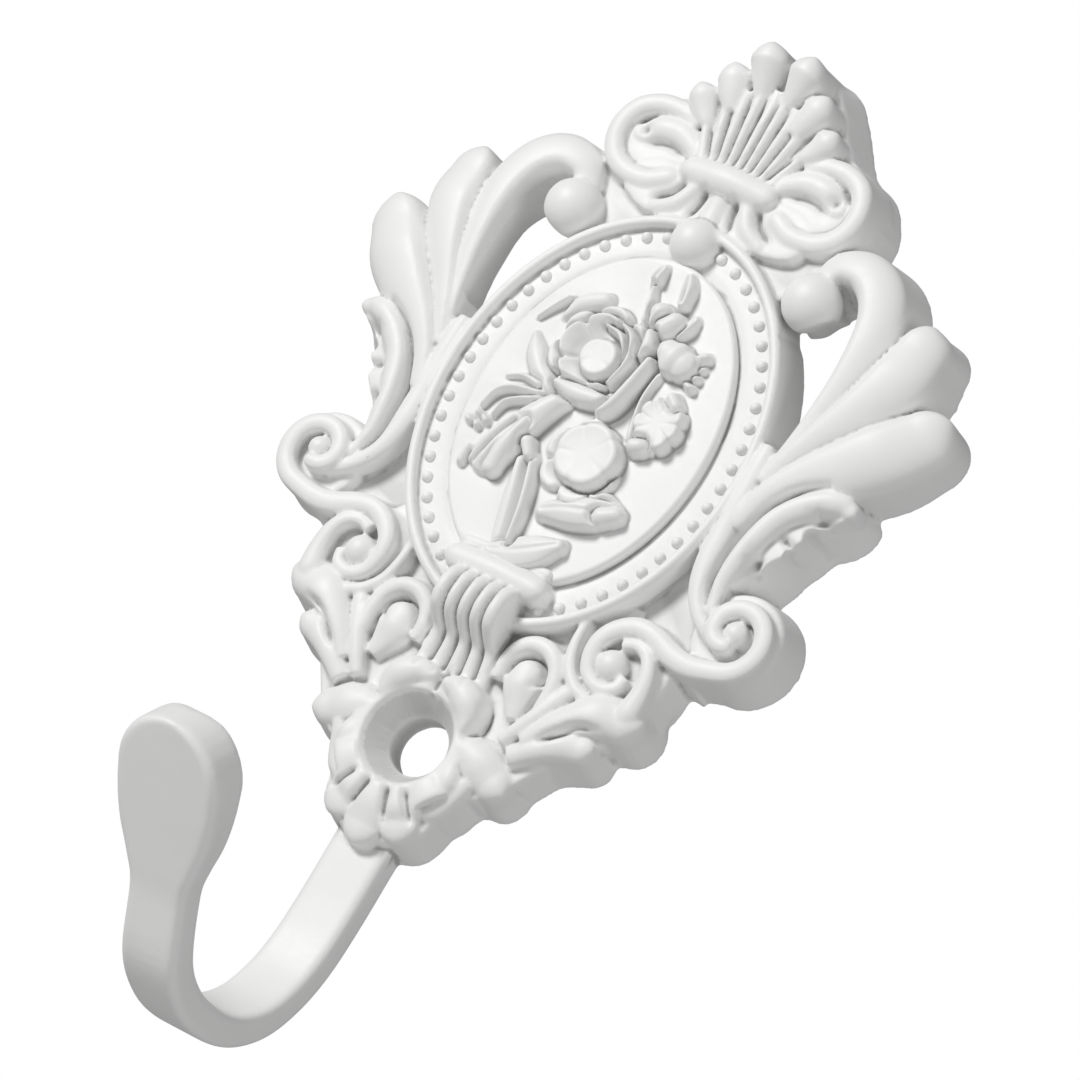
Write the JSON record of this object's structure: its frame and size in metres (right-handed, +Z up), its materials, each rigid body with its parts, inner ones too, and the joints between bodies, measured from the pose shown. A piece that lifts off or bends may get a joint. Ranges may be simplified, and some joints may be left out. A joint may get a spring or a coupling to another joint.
{
  "type": "coat hook",
  "caption": "Ornate cast coat hook: oval floral cameo plate framed by scrolls and leaves, one countersunk screw hole, flat curved arm with a rounded tip.",
  "frame": {"origin": "centre of the screw hole on the back plane that lies against the wall", "axes": "+Z up the wall along the plate's length, -Y out of the wall toward the user, +X to the side"},
  "size_m": [0.066, 0.0409, 0.1084],
  "materials": {
    "white_paint": "satin"
  },
  "bodies": {
    "root": {"coat_hook": "white_paint"}
  },
  "joints": []
}
